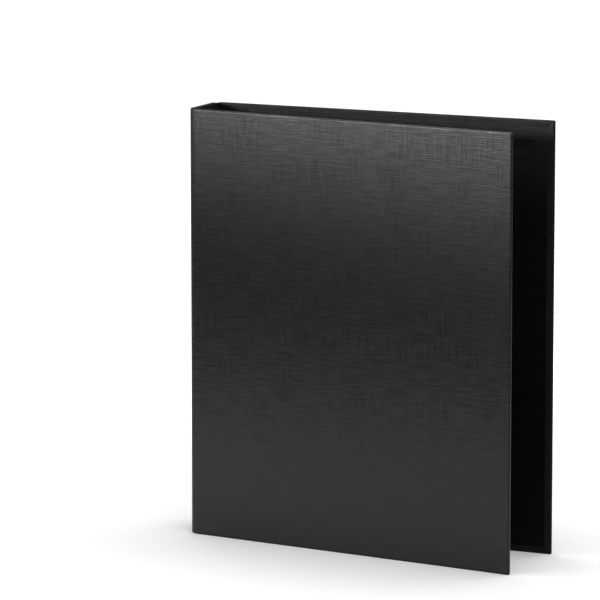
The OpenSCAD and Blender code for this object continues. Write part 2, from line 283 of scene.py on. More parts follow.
# Several (vertices, faces) as one
def together(shells):
    offsets = np.cumsum([0] + [len(vertices) for vertices, faces in shells[:-1]])
    return (np.concatenate([vertices for vertices, faces in shells]),
            np.concatenate([faces + offset for (vertices, faces), offset in zip(shells, offsets)]))


# Makes the object, merges the doubles along its seams and poles, and smooths it. A closed shell whose
# grid may run either way round also has its faces turned outwards.
def meshPiece(name, vertices, faces, uv=None, turnOutwards=True):
    mesh = bpy.data.meshes.new(name)
    mesh.from_pydata(np.asarray(vertices).tolist(), [], np.asarray(faces).tolist())
    if uv is not None:
        layer = mesh.uv_layers.new(name="sheet")
        index = np.zeros(len(mesh.loops), np.int32)
        mesh.loops.foreach_get("vertex_index", index)
        layer.data.foreach_set("uv", np.asarray(uv, np.float32)[index].ravel())
    shell = bmesh.new()
    shell.from_mesh(mesh)
    bmesh.ops.remove_doubles(shell, verts=shell.verts, dist=1e-7)
    if turnOutwards:
        bmesh.ops.recalc_face_normals(shell, faces=shell.faces)
    for face in shell.faces:
        face.smooth = True
    shell.to_mesh(mesh)
    shell.free()
    piece = bpy.data.objects.new(name, mesh)
    bpy.context.scene.collection.objects.link(piece)
    return piece


# The two faces of a sheet over one grid of (length along a route, place across it). The rims draw both
# faces to their middle depth: point = route + (middle + (depth - middle) * share) * inward.
# Far faces whose middle is in the opening are left out, and the rows named in ends are closed.
def sheetShell(stretches, side, along, across, near, far, share, ends=(), opening=None):
    points, left = routePoints(stretches, along)
    middle = (near + far) / 2
    rows, columns = along.shape
    vertices = []
    for depth in (near, far):
        level = middle + (depth - middle) * share
        vertices.append(np.dstack([points + side * level[..., None] * left, across]).reshape(-1, 3))
    nearFaces = gridFaces(rows, columns)
    farFaces = gridFaces(rows, columns, rows * columns)[:, ::-1]
    if opening is not None:
        centreAlong = (along[:-1, :-1] + along[1:, 1:]) / 2
        centreAcross = (across[:-1, :-1] + across[1:, 1:]) / 2
        farFaces = farFaces[~opening(centreAlong, centreAcross).ravel()]
    faces = [nearFaces, farFaces]
    for row in ends:
        first = row % rows * columns + np.arange(columns - 1)
        cap = np.stack([first, first + 1, first + 1 + rows * columns, first + rows * columns], -1)
        faces.append(cap if row == 0 else cap[:, ::-1])
    faces = np.concatenate(faces)
    return np.concatenate(vertices), faces if side > 0 else faces[:, ::-1]


# A round bar along a route, given the radius at each length:
# point = route + radius * (cos * left + sin * up).
# rise lifts a ring's points along the bar by a function of their place across it.
def barShell(stretches, along, radius, rise=None, segments=32):
    turn = np.linspace(0, 2 * math.pi, segments + 1)
    turn[-1] = 0
    alongGrid, turnGrid = np.meshgrid(along, turn, indexing="ij")
    radiusGrid = np.asarray(radius)[:, None]
    across = radiusGrid * np.sin(turnGrid)
    if rise is not None:
        alongGrid = alongGrid + rise(across) * (alongGrid > along[-1] - 0.01 * mm)
    points, left = routePoints(stretches, alongGrid)
    flat = points + (radiusGrid * np.cos(turnGrid))[..., None] * left
    return np.dstack([flat, across]).reshape(-1, 3), gridFaces(len(along), segments + 1)


# A profile of (length, radius) turned about an axis: point = length along it, radius * (cos, sin) across it
def turnedShell(profile, segments=48):
    profile = np.asarray(profile, float)
    turn = np.linspace(0, 2 * math.pi, segments + 1)
    turn[-1] = 0
    length = np.repeat(profile[:, :1], segments + 1, 1)
    across = profile[:, 1:2] * np.cos(turn)
    other = profile[:, 1:2] * np.sin(turn)
    return np.dstack([length, across, other]).reshape(-1, 3), gridFaces(len(profile), segments + 1)


# An arc of a profile: centre + radius * (sin, cos) of angles in degrees
def profileArc(centre, radius, first, last, count=7):
    angle = np.radians(np.linspace(first, last, count))
    return np.stack([centre[0] + radius * np.sin(angle), centre[1] + radius * np.cos(angle)], -1)


# Covering and lining

# The covering of one cover or of the spine, as the real sheet: outer face, rims, and the border folded in
# over the board. It is open where the lining lies on the board, and where it runs on into its neighbour.
def makeCovering(name, stretches, side, uvStart, uvSign):
    onSpine = len(stretches) == 1
    foreEdge = stretches[-1]["to"]
    bend = stretches[0]["to"]
    rim = covers["rimDepth"]
    if onSpine:
        alongs = lines(0, foreEdge, covers["openStep"] / 2)
    else:
        alongs = alongLines(bend, foreEdge, 0, rim)
    along, height = np.meshgrid(alongs, heightLines(0, rim), indexing="ij")
    share = rimShare(np.minimum(height, binder["height"] - height), rim)
    uv = np.stack([uvStart + uvSign * along, height], -1).reshape(-1, 2)
    if onSpine:
        near = np.zeros_like(along)
        far = innerDepth(near, height, *covers["farAway"])
        reach = foreEdge
    else:
        near = outerDepth(along, bend)
        far = innerDepth(along, height, bend, foreEdge)
        share = share * rimShare(foreEdge - along, rim)
        along, height = roundedCorner(along, height, foreEdge, covers["cornerRadius"])
        height = sagged(along, height, bend)
        reach = foreEdge - covers["turnIn"]

    def underLining(x, z):
        return (np.minimum(z, binder["height"] - z) > covers["turnIn"]) & (x < reach)

    vertices, faces = sheetShell(stretches, side, along, height, near, far, share, (), underLining)
    piece = meshPiece(name, vertices, faces, np.concatenate([uv, uv]), turnOutwards=False)
    paper = piece.modifiers.new("paper", "SOLIDIFY")
    paper.thickness = binder["paper"]
    paper.offset = -1
    return piece


# The lining: a thin sheet that follows the inside of the cover, over the step of the folded-in border and
# down into the hinge
def makeLining(name, stretches, side, uvStart, uvSign):
    onSpine = len(stretches) == 1
    foreEdge = stretches[-1]["to"]
    bend = stretches[0]["to"]
    inset = covers["liningInset"]
    rim = covers["liningRim"]
    if onSpine:
        alongs = lines(0, foreEdge, covers["openStep"] / 2)
    else:
        alongs = alongLines(bend, foreEdge, inset, rim)
    along, height = np.meshgrid(alongs, heightLines(inset, rim), indexing="ij")
    share = rimShare(np.minimum(height, binder["height"] - height) - inset, rim)
    if onSpine:
        near = innerDepth(np.zeros_like(along), height, *covers["farAway"])
    else:
        near = innerDepth(along, height, bend, foreEdge)
        share = share * rimShare(foreEdge - inset - along, rim)
    far = near + covers["liningThickness"]
    uv = np.stack([uvStart + uvSign * along, height], -1).reshape(-1, 2)
    ends = (0, -1) if onSpine else (0,)
    vertices, faces = sheetShell(stretches, side, along, height, near, far, share, ends)
    return meshPiece(name, vertices, faces, np.concatenate([uv, uv]), turnOutwards=False)


# The point where a cover's sheet leaves the spine, and the point where its board begins
def hingeEnds(stretches):
    points = routePoints(stretches, np.array([0, stretches[0]["to"]]))[0]
    return [(float(x), float(y), binder["height"] / 2) for x, y in points]


spineWidth = binder["spineBackY"] - binder["spineFrontY"]
frontRoute = coverRoute(back=False)
backRoute = coverRoute(back=True)
makers = ((makeCovering, "covering"), (makeLining, "lining"))
sheets = {"covering": [], "lining": []}
for make, layer in makers:
    spineSheet = make("spine_" + layer + "_sheet", spineRoute(), -1, 0, 1)
    frontSheet = make("front_" + layer + "_sheet", frontRoute, 1, 0, -1)
    backSheet = make("back_" + layer + "_sheet", backRoute, -1, spineWidth, 1)
    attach(spineSheet, "spine")
    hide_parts("spine_" + layer)
    hingeEnds(frontRoute)
    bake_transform(frontSheet)
    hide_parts("front_" + layer, "front_hinge_" + layer)
    hingeEnds(backRoute)
    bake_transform(backSheet)
    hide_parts("back_" + layer, "back_hinge_" + layer)
    for piece in (spineSheet, frontSheet, backSheet):
        sheets[layer].append(piece)
print("covers: sheets", [len(piece.data.polygons) for piece in sheets["covering"] + sheets["lining"]])


# Ring mechanism: u towards the fore edge, v from the back lining, z up

mechanism = {
    "middleX": (housingLow.x + housingHigh.x) / 2,
    "baseY": housingHigh.y,
}
rings = {
    "wireRadius": 1.6 * mm,
    "neckRadius": 1.1 * mm,
    "headRadius": 1.8 * mm,
    "headThickness": 0.6 * mm,
    "shoulder": 2.05 * mm,       # from the foot's end up to where the wire is full
    "postU": 4.5 * mm,
    "runV": 9 * mm,
    "backU": -15 * mm,
    "cornerRadius": 3 * mm,
    "chamfer": 0.22 * mm,
    "grooveHalf": 0.95 * mm,
    "grooveDepth": 0.75 * mm,
    "ease": 0.1 * mm,
    "step": 0.8 * mm,
    "count": 4,
}


# From the mechanism's (u, v, z) to places in the binder, with a height added to z
def onBack(vertices, height=0.0):
    u, v, z = vertices.T
    return np.stack([mechanism["middleX"] + u, mechanism["baseY"] - v, z + height], -1)


def middleHeight(node):
    low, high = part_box(node)
    return (low.z + high.z) / 2


# Lengths and radii of a half ring: headed foot, neck, shoulder, plain wire, and a chamfered end.
# Each edge is eased by a few points at fractions of ease or of the chamfer.
def wireProfile(length):
    head, neck, wire = rings["headRadius"], rings["neckRadius"], rings["wireRadius"]
    thick, shoulder = rings["headThickness"], rings["shoulder"]
    ease, chamfer = rings["ease"], rings["chamfer"]
    foot = [(0, 0), (0, head * 0.5), (0, head - 1.5 * ease), (0.5 * ease, head - 0.4 * ease),
            (1.5 * ease, head), (thick - ease, head), (thick, head - ease),
            (thick + 0.2 * ease, neck + 0.5 * ease), (thick + ease, neck), (shoulder - ease, neck),
            (shoulder, neck + 0.6 * ease), (shoulder + 0.2 * ease, wire - ease),
            (shoulder + 1.2 * ease, wire)]
    body = [(along, wire) for along in lines(shoulder + 4 * ease, length - 5 * ease, rings["step"])]
    end = [(length - chamfer, wire), (length - 0.4 * chamfer, wire - 0.3 * chamfer),
           (length - 0.02 * chamfer, wire - 0.9 * chamfer)]
    face = [(length, radius) for radius in np.linspace(wire - chamfer, 0, 9)]
    return np.array(foot + body + end + face).T


# The post's end has a groove across it and the hook's end a ridge: a V of depth * (1 - |place| / half)
def seamShape(sign):
    def rise(across):
        return sign * rings["grooveDepth"] * np.clip(1 - np.abs(across) / rings["grooveHalf"], 0, 1)
    return rise


def makeRing(index):
    hookNode, postNode = "ring_hook_%d" % index, "ring_post_%d" % index
    footV = mechanism["baseY"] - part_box(hookNode)[1].y
    topV = mechanism["baseY"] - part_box(hookNode)[0].y - rings["wireRadius"]
    seamV = mechanism["baseY"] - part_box(postNode)[0].y
    corner, postU = rings["cornerRadius"], rings["postU"]
    half = (topV - rings["runV"]) / 2
    quarter = math.pi / 2
    hookRoute = route((-postU, footV), quarter, [
        ("line", rings["runV"] - corner - footV), ("arc", corner, quarter),
        ("line", -rings["backU"] - postU - corner), ("arc", half, -math.pi),
        ("line", postU - corner - rings["backU"]), ("arc", corner, -quarter),
        ("line", topV - corner - seamV - rings["ease"])])
    postRoute = route((postU, footV), quarter, [("line", seamV - footV)])
    for node, wireRoute, sign, body in ((hookNode, hookRoute, 1, "spine_side_rings"),
                                        (postNode, postRoute, -1, "fore_side_rings")):
        along, radius = wireProfile(wireRoute[-1]["to"])
        vertices, faces = barShell(wireRoute, along, radius, seamShape(sign))
        piece = meshPiece(node + "_wire", onBack(vertices, middleHeight(node)), faces)
        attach(piece, body)
        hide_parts(node)
        plated.append(piece)


plated = []
for index in range(1, rings["count"] + 1):
    makeRing(index)
print("rings: hooks and posts", len(plated))


# Rivets and lever pins

rivets = {
    "shankRadius": 2.6 * mm,
    "boreRadius": 1.8 * mm,
    "boreFloor": 1.0 * mm,
    "lipRadius": 3.6 * mm,
    "lipThickness": 0.6 * mm,
    "headRadius": 6.5 * mm,
    "rim": 0.3 * mm,
    "ease": 0.1 * mm,
}
pins = {
    "ease": 0.3 * mm,
    "segments": 32,
}


# A hollow rivet: low domed head on the outside of the back cover, shank, and its end turned out over the
# housing. Profile lengths are v, so the head is below zero. The dome is an arc of the radius
# (head^2 + rise^2) / (2 rise).
def rivetProfile(headTop, headFoot, lipV):
    head, shank, boreRadius = rivets["headRadius"], rivets["shankRadius"], rivets["boreRadius"]
    rim, ease, floor = rivets["rim"], rivets["ease"], rivets["boreFloor"]
    rise = headFoot - headTop - rim
    domeRadius = (head ** 2 + rise ** 2) / (2 * rise)
    sweep = math.degrees(math.asin((head - 2 * ease) / domeRadius))
    angle = np.radians(np.linspace(0, sweep, 14))
    dome = np.stack([headTop + domeRadius * (1 - np.cos(angle)), domeRadius * np.sin(angle)], -1)
    rimMiddle = headFoot - rim / 2
    edge = [(rimMiddle - ease / 2, head), (rimMiddle + ease / 2, head), (headFoot, head - ease),
            (headFoot, shank + ease), (headFoot + ease, shank), (lipV - ease, shank), (lipV, shank + ease)]
    half = rivets["lipThickness"] / 2
    lip = profileArc((lipV + half, rivets["lipRadius"] - half), half, -90, 90)
    inner = profileArc((lipV + half, boreRadius + half), half, 90, 180, 5)
    bore = [(lipV - 5 * ease, boreRadius), (floor + 1.5 * ease, boreRadius),
            (floor, boreRadius - 1.5 * ease), (floor, 0)]
    return np.concatenate([dome, edge, lip, inner, bore])


def makeRivets():
    low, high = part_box("housing_rivets")
    headTop = mechanism["baseY"] - high.y
    headFoot = mechanism["baseY"] - backHigh.y
    lipTop = mechanism["baseY"] - low.y
    shells = []
    for height in (low.z + rivets["headRadius"], high.z - rivets["headRadius"]):
        vertices, faces = turnedShell(rivetProfile(headTop, headFoot, lipTop - rivets["lipThickness"]))
        v, u, z = vertices.T
        shells.append((onBack(np.stack([u, v, z], -1), height), faces))
    piece = meshPiece("hollow_rivets", *together(shells))
    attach(piece, "back_cover")
    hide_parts("housing_rivets")
    plated.append(piece)


def makePins():
    low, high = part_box("lever_pins")
    radius = (high.y - low.y) / 2
    v = mechanism["baseY"] - (low.y + high.y) / 2
    half = (high.x - low.x) / 2
    ease = pins["ease"]
    end = profileArc((half - ease, radius - ease), ease, 0, 90, 5)
    other = end[::-1] * (-1, 1)
    profile = np.concatenate([[(-half, 0)], other, end, [(half, 0)]])
    shells = []
    for height in (low.z + radius, high.z - radius):
        vertices, faces = turnedShell(profile, pins["segments"])
        along, across, up = vertices.T
        shells.append((onBack(np.stack([along, v + across, up], -1), height), faces))
    piece = meshPiece("lever_pivot_pins", *together(shells))
    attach(piece, "back_cover")
    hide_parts("lever_pins")
    plated.append(piece)


makeRivets()
makePins()
print("rivets and pins")


# Levers: pressed strips on a rolled eye

lever = {
    "thickness": 1.8 * mm,
    "width": 12 * mm,
    "handleWidth": 14 * mm,
    "handleCorner": 4 * mm,
    "armAngle": 35,
    "armLength": 7.5 * mm,
    "lean": 11,
    "handleLength": 12.2 * mm,
    "bendRadius": 3 * mm,
    "curlRadius": 5 * mm,
    "curlTurn": 24,
    "eyeRadius": 2 * mm,
    "eyeBore": 1.05 * mm,
    "rim": 0.55 * mm,
    "tailLength": 5.6 * mm,
    "tailWidth": 2.4 * mm,
    "tailV": 0.15 * mm,
    "tailThickness": 0.45 * mm,
    "tailRoot": 1.8 * mm,
    "tailRise": 2.2 * mm,
    "tailRim": 0.2 * mm,
    "rootRim": 0.3 * mm,
    "widening": (-2 * mm, 1 * mm),   # where the handle's extra width begins and ends, from the arm's end
    "sideRim": 0.09,                 # as a share of half the width
    "rimPower": 3.0,
    "eyeEase": 0.3 * mm,
    "step": 0.6 * mm,
    "tailStep": 1 * mm,
}


# Half the strip's width at each length: the arm widens into the handle, whose far corners are round
def leverHalfWidth(along, length, armEnd):
    arm, handle, corner = lever["width"] / 2, lever["handleWidth"] / 2, lever["handleCorner"]
    first, last = lever["widening"]
    half = arm + (handle - arm) * smoothStep(along, armEnd + first, armEnd + last)
    into = np.clip(along - (length - corner), 0, corner)
    return half - corner + np.sqrt(np.maximum(corner ** 2 - into ** 2, 0))


# A plate between two places along the lever, as a sheet on a straight route: (along, v, across)
def plateShell(start, length, thickness, width, rim):
    straight = route(start, 0, [("line", length)])
    edges = rimLines(rim, lever["rimPower"], 4)
    alongs = sortedLines([edges, lines(rim, length - rim, lever["tailStep"]), length - edges])
    half = width / 2
    acrosses = sortedLines([-half + edges, [0], half - edges])
    along, across = np.meshgrid(alongs, acrosses, indexing="ij")
    share = rimShare(np.minimum(along, length - along), rim) * rimShare(half - np.abs(across), rim)
    near, far = np.zeros_like(along), np.full_like(along, thickness)
    return sheetShell(straight, 1, along, across, near, far, share)


def makeLever(node, outwards, pinHeight):
    thickness, rim = lever["thickness"], lever["rim"]
    low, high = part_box("lever_pins")
    pinV = mechanism["baseY"] - (low.y + high.y) / 2
    heading = math.radians(lever["armAngle"])
    bend = math.radians(90 - lever["lean"]) - heading
    tangent = lever["bendRadius"] * math.tan(bend / 2)
    arm = lever["armLength"] - tangent
    middle = (-math.sin(heading), math.cos(heading))
    start = (-middle[0] * thickness / 2, pinV - middle[1] * thickness / 2)
    curl = math.radians(lever["curlTurn"])
    strip = route(start, heading, [
        ("line", arm), ("arc", lever["bendRadius"], bend),
        ("line", lever["handleLength"] - tangent - lever["curlRadius"] * curl),
        ("arc", lever["curlRadius"], -curl)])
    length = strip[-1]["to"]
    ends = rimLines(rim, lever["rimPower"], 5)
    alongs = sortedLines([ends, lines(rim, length - rim, lever["step"]), length - ends])
    sideRim = lever["sideRim"]
    sides = rimLines(sideRim, lever["rimPower"], 6)
    places = sortedLines([-1 + sides, np.linspace(sideRim - 1, 1 - sideRim, 15), 1 - sides])
    along, place = np.meshgrid(alongs, places, indexing="ij")
    across = place * leverHalfWidth(along, length, strip[0]["to"])
    share = rimShare(1 - np.abs(place), sideRim) * rimShare(np.minimum(along, length - along), rim)
    near = np.zeros_like(along)
    shells = [sheetShell(strip, 1, along, across, near, near + thickness, share)]

    halfEye, eased = lever["width"] / 2, lever["eyeEase"]
    outer = profileArc((halfEye - eased, lever["eyeRadius"] - eased), eased, 0, 90, 5)
    inner = profileArc((halfEye - eased, lever["eyeBore"] + eased), eased, 90, 180, 5)
    profile = np.concatenate([(outer * (-1, 1))[::-1], outer, inner, (inner * (-1, 1))[::-1]])
    profile = np.concatenate([profile, profile[:1]])
    vertices, faces = turnedShell(profile, 40)
    across, x, v = vertices.T
    shells.append((np.stack([x, v + pinV, across], -1), faces))

    tail = lever["tailLength"]
    root = lever["tailRoot"]
    tailWidth, tailV = lever["tailWidth"], lever["tailV"]
    shells.append(plateShell((-tail, tailV), tail, lever["tailThickness"], tailWidth, lever["tailRim"]))
    shells.append(plateShell((-root, tailV), root, lever["tailRise"], tailWidth, lever["rootRim"]))
    vertices, faces = together(shells)
    out, v, across = vertices.T
    placed = onBack(np.stack([across, v, outwards * out], -1), pinHeight)
    piece = meshPiece(node + "_strip", placed, faces)
    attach(piece, node)
    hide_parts(node)
    plated.append(piece)


pinLow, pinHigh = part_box("lever_pins")
pinRadius = (pinHigh.y - pinLow.y) / 2
makeLever("top_lever", 1, pinHigh.z - pinRadius)
makeLever("bottom_lever", -1, pinLow.z + pinRadius)
print("levers")


# Housing: the frame's own shape with its pressed edges eased

housing = {
    "edgeWidth": 0.18 * mm,
    "edgeAngle": 32,
    "flatAngle": 0.5,
    "mergeDistance": 1e-6,
}


def makeHousing():
    source = frame["nodes"]["ring_housing"]
    piece = bpy.data.objects.new("pressed_housing", source.data.copy())
    bpy.context.scene.collection.objects.link(piece)
    shell = bmesh.new()
    shell.from_mesh(piece.data)
    bmesh.ops.remove_doubles(shell, verts=shell.verts, dist=housing["mergeDistance"])
    flat = math.radians(housing["flatAngle"])
    bmesh.ops.dissolve_limit(shell, angle_limit=flat, verts=shell.verts, edges=shell.edges)
    for face in shell.faces:
        face.smooth = True
    shell.to_mesh(piece.data)
    shell.free()
    ease = piece.modifiers.new("eased_edges", "BEVEL")
    ease.width = housing["edgeWidth"]
    ease.segments = 2
    ease.limit_method = "ANGLE"
    ease.angle_limit = math.radians(housing["edgeAngle"])
    ease.harden_normals = True
    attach(piece, "back_cover")
    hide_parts("ring_housing")
    plated.append(piece)


makeHousing()
print("housing")


# Finishes

def newFinish(name, colour, roughness, metallic=0.0, specular=0.5):
    finish = bpy.data.materials.new(name)
    finish.use_nodes = True
    shader = finish.node_tree.nodes["Principled BSDF"]
    shader.inputs["Base Color"].default_value = (*colour, 1)
    shader.inputs["Roughness"].default_value = roughness
    shader.inputs["Metallic"].default_value = metallic
    shader.inputs["Specular IOR Level"].default_value = specular
    return finish, shader


def addNode(finish, kind, values=None, **settings):
    made = finish.node_tree.nodes.new(kind)
    for name, value in settings.items():
        setattr(made, name, value)
    for name, value in (values or {}).items():
        made.inputs[name].default_value = value
    return made


def join(finish, source, target):
    finish.node_tree.links.new(source, target)


# Noise stretched so that its features are about (width, height, depth) metres
def stretchedNoise(finish, vector, size, detail=2.0, roughness=0.5):
    mapping = addNode(finish, "ShaderNodeMapping", {"Scale": [1 / length for length in size]})
    noise = addNode(finish, "ShaderNodeTexNoise", {"Scale": 1.0, "Detail": detail, "Roughness": roughness})
    join(finish, vector, mapping.inputs["Vector"])
    join(finish, mapping.outputs["Vector"], noise.inputs["Vector"])
    return noise.outputs["Fac"]


def calculate(finish, operation, first, second=None, third=None):
    made = addNode(finish, "ShaderNodeMath", operation=operation)
    for socket, value in zip(made.inputs, (first, second, third)):
        if value is None:
            continue
        if isinstance(value, (int, float)):
            socket.default_value = value
        else:
            join(finish, value, socket)
    return made.outputs[0]


def remap(finish, value, fromLow, fromHigh, toLow, toHigh):
    limits = {"From Min": fromLow, "From Max": fromHigh, "To Min": toLow, "To Max": toHigh}
    made = addNode(finish, "ShaderNodeMapRange", limits)
    join(finish, value, made.inputs["Value"])
    return made.outputs["Result"]


# Two colours mixed by a share; each is a value or another node's output
def mixColours(finish, share, first, second):
    made = addNode(finish, "ShaderNodeMix", data_type="RGBA")
    join(finish, share, made.inputs["Factor"])
    colours = [socket for socket in made.inputs if socket.type == "RGBA"]
    for socket, colour in zip(colours, (first, second)):
        if isinstance(colour, tuple):
            socket.default_value = (*colour, 1)
        else:
            join(finish, colour, socket)
    return next(out for out in made.outputs if out.type == "RGBA")


def addBump(finish, shader, height, distance, strength=1.0):
    bump = addNode(finish, "ShaderNodeBump", {"Distance": distance, "Strength": strength})
    join(finish, height, bump.inputs["Height"])
    join(finish, bump.outputs["Normal"], shader.inputs["Normal"])


linen = {
    "threadPitch": 1.7 * mm,
    "dark": (0.0112, 0.0112, 0.0110),
    "light": (0.0177, 0.0177, 0.0173),
    "roughness": (0.36, 0.46),
    "gloss": (0.19, 0.285),
    # painted shade: the back covering gets a far less glossy copy of the linen, so its turned-in border inside the
    # binder reads darker
    "backGloss": (0.03, 0.06),
    "weaveShare": 0.085,
    "levelSlub": (19 * mm, 1.7 * mm, 1),     # sizes of the noise along, up and out of the sheet
    "levelFine": (9 * mm, 0.62 * mm, 1),
    "uprightSlub": (1.7 * mm, 24 * mm, 1),
    "uprightFine": (0.62 * mm, 11 * mm, 1),
    "patch": (34 * mm, 24 * mm, 1),
    "fineShare": 0.5,
    "patchRange": (0.40, 0.62, 0.10, 0.85),  # noise from, to, and the share of upright threads there
    "uprightMiddle": 0.75,
    "toneRange": (0.52, 0.98),
    "levelRelief": 0.38,
    "uprightRelief": 1.9,
    "wornTo": (66 * mm, 128 * mm),
    "leftWhenWorn": 0.2,
    "bumpDistance": 0.11 * mm,
}


# Paper embossed like linen: level threads that swell and fade over a few centimetres, upright threads that
# show in patches, and an even weave under both. The threads are in the height, colour and gloss alike, and
# are worn smooth towards the foot.
def linenFinish(name, gloss):
    finish, shader = newFinish(name, linen["dark"], linen["roughness"][0], specular=gloss[0])
    sheet = addNode(finish, "ShaderNodeTexCoord").outputs["UV"]
    parts = addNode(finish, "ShaderNodeSeparateXYZ")
    join(finish, sheet, parts.inputs["Vector"])
    levelSlubs = stretchedNoise(finish, sheet, linen["levelSlub"], 1.0)
    levelFine = stretchedNoise(finish, sheet, linen["levelFine"], 0.0)
    uprightSlubs = stretchedNoise(finish, sheet, linen["uprightSlub"], 1.0)
    uprightFine = stretchedNoise(finish, sheet, linen["uprightFine"], 0.0)
    patches = stretchedNoise(finish, sheet, linen["patch"], 0.0)
    perMetre = 2 * math.pi / linen["threadPitch"]
    levelWave = calculate(finish, "SINE", calculate(finish, "MULTIPLY", parts.outputs["Y"], perMetre))
    uprightWave = calculate(finish, "SINE", calculate(finish, "MULTIPLY", parts.outputs["X"], perMetre))
    weave = calculate(finish, "ADD", levelWave, uprightWave)
    uprightShare = remap(finish, patches, *linen["patchRange"])
    level = calculate(finish, "MULTIPLY_ADD", levelFine, linen["fineShare"], levelSlubs)
    upright = calculate(finish, "MULTIPLY_ADD", uprightFine, linen["fineShare"], uprightSlubs)
    centred = calculate(finish, "SUBTRACT", upright, linen["uprightMiddle"])
    leaning = calculate(finish, "MULTIPLY", centred, uprightShare)
    weave = calculate(finish, "MULTIPLY", weave, linen["weaveShare"])
    threads = calculate(finish, "ADD", calculate(finish, "ADD", leaning, level), weave)
    sunk = calculate(finish, "MULTIPLY_ADD", level, linen["levelRelief"], weave)
    relief = calculate(finish, "MULTIPLY_ADD", leaning, linen["uprightRelief"], sunk)
    kept = remap(finish, parts.outputs["Y"], *linen["wornTo"], linen["leftWhenWorn"], 1)
    addBump(finish, shader, calculate(finish, "MULTIPLY", relief, kept), linen["bumpDistance"])
    tone = remap(finish, threads, *linen["toneRange"], -0.5, 0.5)
    contrast = calculate(finish, "MULTIPLY", tone, kept)
    shade = calculate(finish, "ADD", contrast, 0.5)
    join(finish, mixColours(finish, shade, linen["dark"], linen["light"]), shader.inputs["Base Color"])
    join(finish, remap(finish, shade, 0, 1, linen["roughness"][1], linen["roughness"][0]),
         shader.inputs["Roughness"])
    join(finish, remap(finish, shade, 0, 1, *gloss), shader.inputs["Specular IOR Level"])
    return finish


lining = {
    # painted shade: the lining's black is set well darker than the covering's, standing in for the deep shade
    # between the covers
    "dark": (0.0024, 0.0024, 0.0024),
    "light": (0.0046, 0.0046, 0.0046),
    # painted light: a lighter band at the top of the lining, where the overhead light reaches in over the front
    # cover's top edge
    "litTopDark": (0.0100, 0.0100, 0.0100),
    "litTopLight": (0.0180, 0.0180, 0.0180),
    "litTopFrom": (252 * mm, 302 * mm),
    "roughness": (0.56, 0.68),
    "specular": 0.06,
    "fibre": (0.5 * mm, 0.9 * mm, 1),        # sizes of the noise along, up and out of the sheet
    "thread": (15 * mm, 1.6 * mm, 1),
    "unevenness": (14 * mm, 11 * mm, 1),
    "grainRange": (0.38, 0.62),
    "glossRange": (0.3, 0.7),
    "boardRelief": 2.0,
    "bumpDistance": 0.03 * mm,
}


# Smooth black lining paper, with short fibres and a faint unevenness from the board below. Its black carries
# painted shade, and a lighter band along the top is painted light, where the overhead light falls in over the
# front cover
def liningFinish():
    middle = sum(lining["roughness"]) / 2
    finish, shader = newFinish("black_lining_paper", lining["dark"], middle, specular=lining["specular"])
    sheet = addNode(finish, "ShaderNodeTexCoord").outputs["UV"]
    parts = addNode(finish, "ShaderNodeSeparateXYZ")
    join(finish, sheet, parts.inputs["Vector"])
    fibres = stretchedNoise(finish, sheet, lining["fibre"], 3.0, 0.65)
    threads = stretchedNoise(finish, sheet, lining["thread"], 1.0)
    board = stretchedNoise(finish, sheet, lining["unevenness"], 1.0)
    halfFibres = calculate(finish, "MULTIPLY", fibres, 0.5)
    grain = calculate(finish, "MULTIPLY_ADD", threads, 0.5, halfFibres)
    share = remap(finish, grain, *lining["grainRange"], 0, 1)
    # black paper darkened further with painted shade
    blackAndShade = mixColours(finish, share, lining["dark"], lining["light"])
    # painted light: the lit band's colour, blended in towards the top
    litTopColour = mixColours(finish, share, lining["litTopDark"], lining["litTopLight"])
    litTopShare = remap(finish, parts.outputs["Y"], *lining["litTopFrom"], 0, 1)
    join(finish, mixColours(finish, litTopShare, blackAndShade, litTopColour), shader.inputs["Base Color"])
    roughness = remap(finish, fibres, *lining["glossRange"], *lining["roughness"])
    join(finish, roughness, shader.inputs["Roughness"])
    height = calculate(finish, "MULTIPLY_ADD", board, lining["boardRelief"], fibres)
    addBump(finish, shader, height, lining["bumpDistance"])
    return finish


greyBoard = {
    "middle": (0.36, 0.33, 0.28),
    "dark": (0.25, 0.23, 0.19),
    "light": (0.44, 0.41, 0.35),
    "roughness": 0.9,
    "specular": 0.2,
    "fibre": (1.2 * mm, 0.4 * mm, 2.5 * mm),
    "fibreRange": (0.35, 0.65),
    "bumpDistance": 0.08 * mm,
}


# Grey board: pressed waste paper, with pale and dark fibres
def boardFinish():
    middle, rough, specular = greyBoard["middle"], greyBoard["roughness"], greyBoard["specular"]
    finish, shader = newFinish("grey_board", middle, rough, specular=specular)
    place = addNode(finish, "ShaderNodeTexCoord").outputs["Object"]
    fibres = stretchedNoise(finish, place, greyBoard["fibre"], 4.0, 0.7)
    share = remap(finish, fibres, *greyBoard["fibreRange"], 0, 1)
    mixed = mixColours(finish, share, greyBoard["dark"], greyBoard["light"])
    join(finish, mixed, shader.inputs["Base Color"])
    addBump(finish, shader, fibres, greyBoard["bumpDistance"])
    return finish


plating = {
    "cloud": (9 * mm, 9 * mm, 14 * mm),
    "scratch": (0.25 * mm, 0.25 * mm, 9 * mm),
    "scratchShare": 0.6,
    "range": (0.55, 1.05),
}


# Plated steel: slightly uneven gloss and faint handling marks along the binder
def platedFinish(name, plate):
    dark, light, roughness, marks = plate["dark"], plate["light"], plate["roughness"], plate["marks"]
    finish, shader = newFinish(name, light, roughness[0], metallic=1.0)
    place = addNode(finish, "ShaderNodeTexCoord").outputs["Object"]
    cloud = stretchedNoise(finish, place, plating["cloud"], 3.0)
    scratches = stretchedNoise(finish, place, plating["scratch"], 2.0, 0.6)
    mixed = calculate(finish, "MULTIPLY_ADD", scratches, plating["scratchShare"], cloud)
    share = remap(finish, mixed, *plating["range"], 0, 1)
    join(finish, mixColours(finish, share, dark, light), shader.inputs["Base Color"])
    dullness = remap(finish, mixed, *plating["range"], roughness[1], roughness[0])
    join(finish, dullness, shader.inputs["Roughness"])
    addBump(finish, shader, scratches, marks)
    return finish


